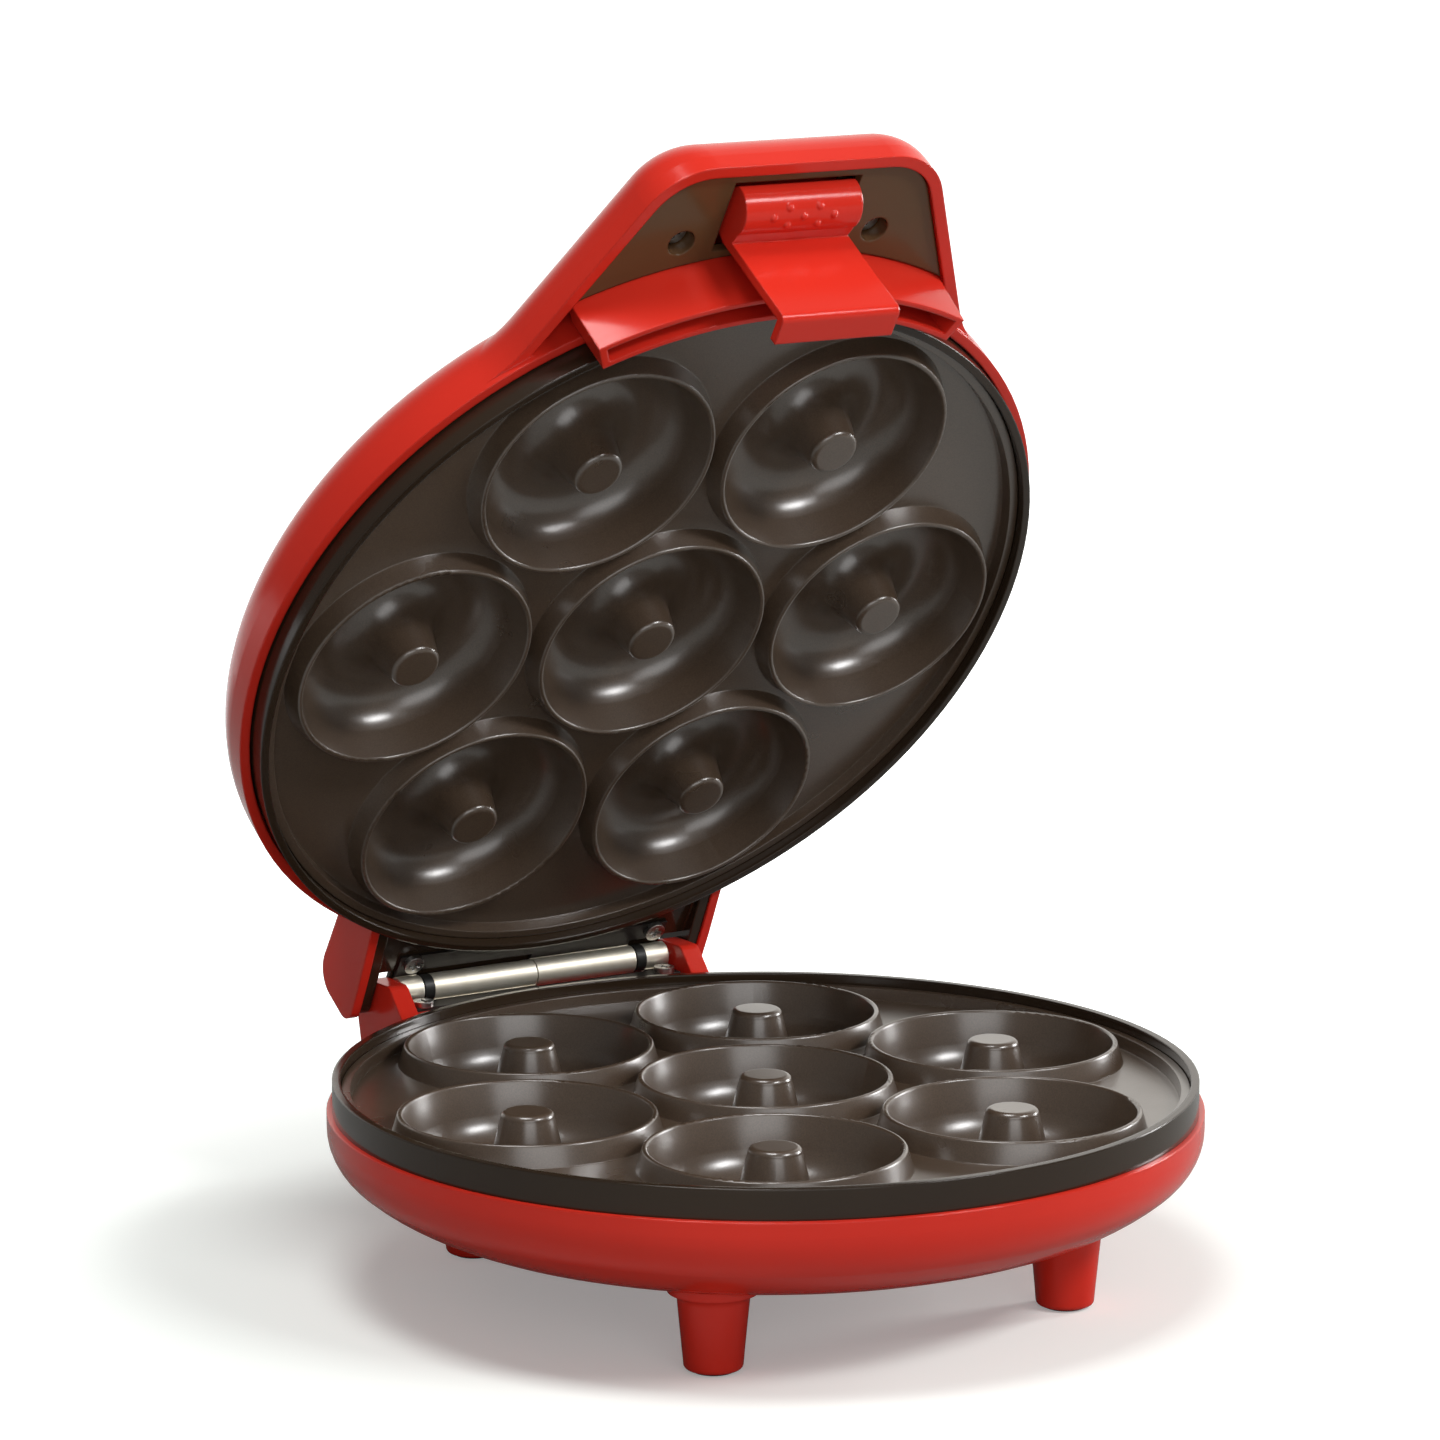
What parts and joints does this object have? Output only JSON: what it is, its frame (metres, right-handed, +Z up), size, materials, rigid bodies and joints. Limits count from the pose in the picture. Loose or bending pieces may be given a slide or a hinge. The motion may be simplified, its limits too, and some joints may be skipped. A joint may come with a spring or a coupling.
{
  "type": "donut maker",
  "caption": "Round hinged countertop donut maker, shown open, with ring-shaped baking cavities in both plates, a front handle with a hooked latch, and feet.",
  "frame": {"origin": "on the table under the middle of the bounding box, lid open as at rest", "axes": "+Z up, +Y back to the hinge, +X to the right of someone facing the handle side from the front"},
  "size_m": [0.208, 0.229, 0.2689],
  "materials": {
    "red_plastic": "glossy red moulded plastic",
    "dark_plastic": "glossy brown-black heat-proof plastic",
    "nonstick_plate": "cast aluminium with a satin brown-black non-stick coat",
    "element_sheath": "dull steel sheath",
    "shield_sheet": "plain sheet",
    "nickel_plate": "bright nickel plate",
    "steel": "zinc plate",
    "rubber": "matt",
    "nylon": "satin",
    "red_lens": "clear tinted",
    "green_lens": "clear tinted",
    "lamp_glass": "clear"
  },
  "bodies": {
    "base": {"base_shell": "red_plastic", "foot_pads": "rubber", "base_bezel": "dark_plastic", "lower_plate": "nonstick_plate", "lower_element": "element_sheath", "lower_element_clamps": "shield_sheet", "lower_clamp_screws": "steel", "lower_heat_shield": "shield_sheet", "thermostat": "shield_sheet", "thermal_fuse": "steel", "cord_inlet_bush": "rubber", "base_hinge_leaf": "nickel_plate", "hinge_pin": "steel", "hinge_washers": "nylon", "base_hinge_screws": "steel", "base_screws": "steel"},
    "lid": {"lid_shell": "red_plastic", "lid_bezel": "dark_plastic", "upper_plate": "nonstick_plate", "upper_element": "element_sheath", "upper_element_clamps": "shield_sheet", "upper_clamp_screws": "steel", "upper_heat_shield": "shield_sheet", "upper_shield_screws": "steel", "handle_guard": "red_plastic", "handle_insert": "dark_plastic", "handle_screws": "steel", "lid_hinge_leaf": "nickel_plate", "lid_hinge_screws": "steel", "power_lens": "red_lens", "ready_lens": "green_lens", "indicator_lamps": "lamp_glass", "latch_pin": "steel"},
    "latch": {"latch": "red_plastic"}
  },
  "joints": [
    {"name": "lid_hinge", "type": "hinge", "parent": "base", "child": "lid", "pos_m": [0, 0.09836, 0.0513], "axis": [-1, 0, 0], "range_deg": [-57.3, 37.7]},
    {"name": "latch_pivot", "type": "hinge", "parent": "lid", "child": "latch", "pos_m": [0, -0.01657, 0.25309], "axis": [1, 0, 0], "range_deg": [0, 16.5]}
  ]
}
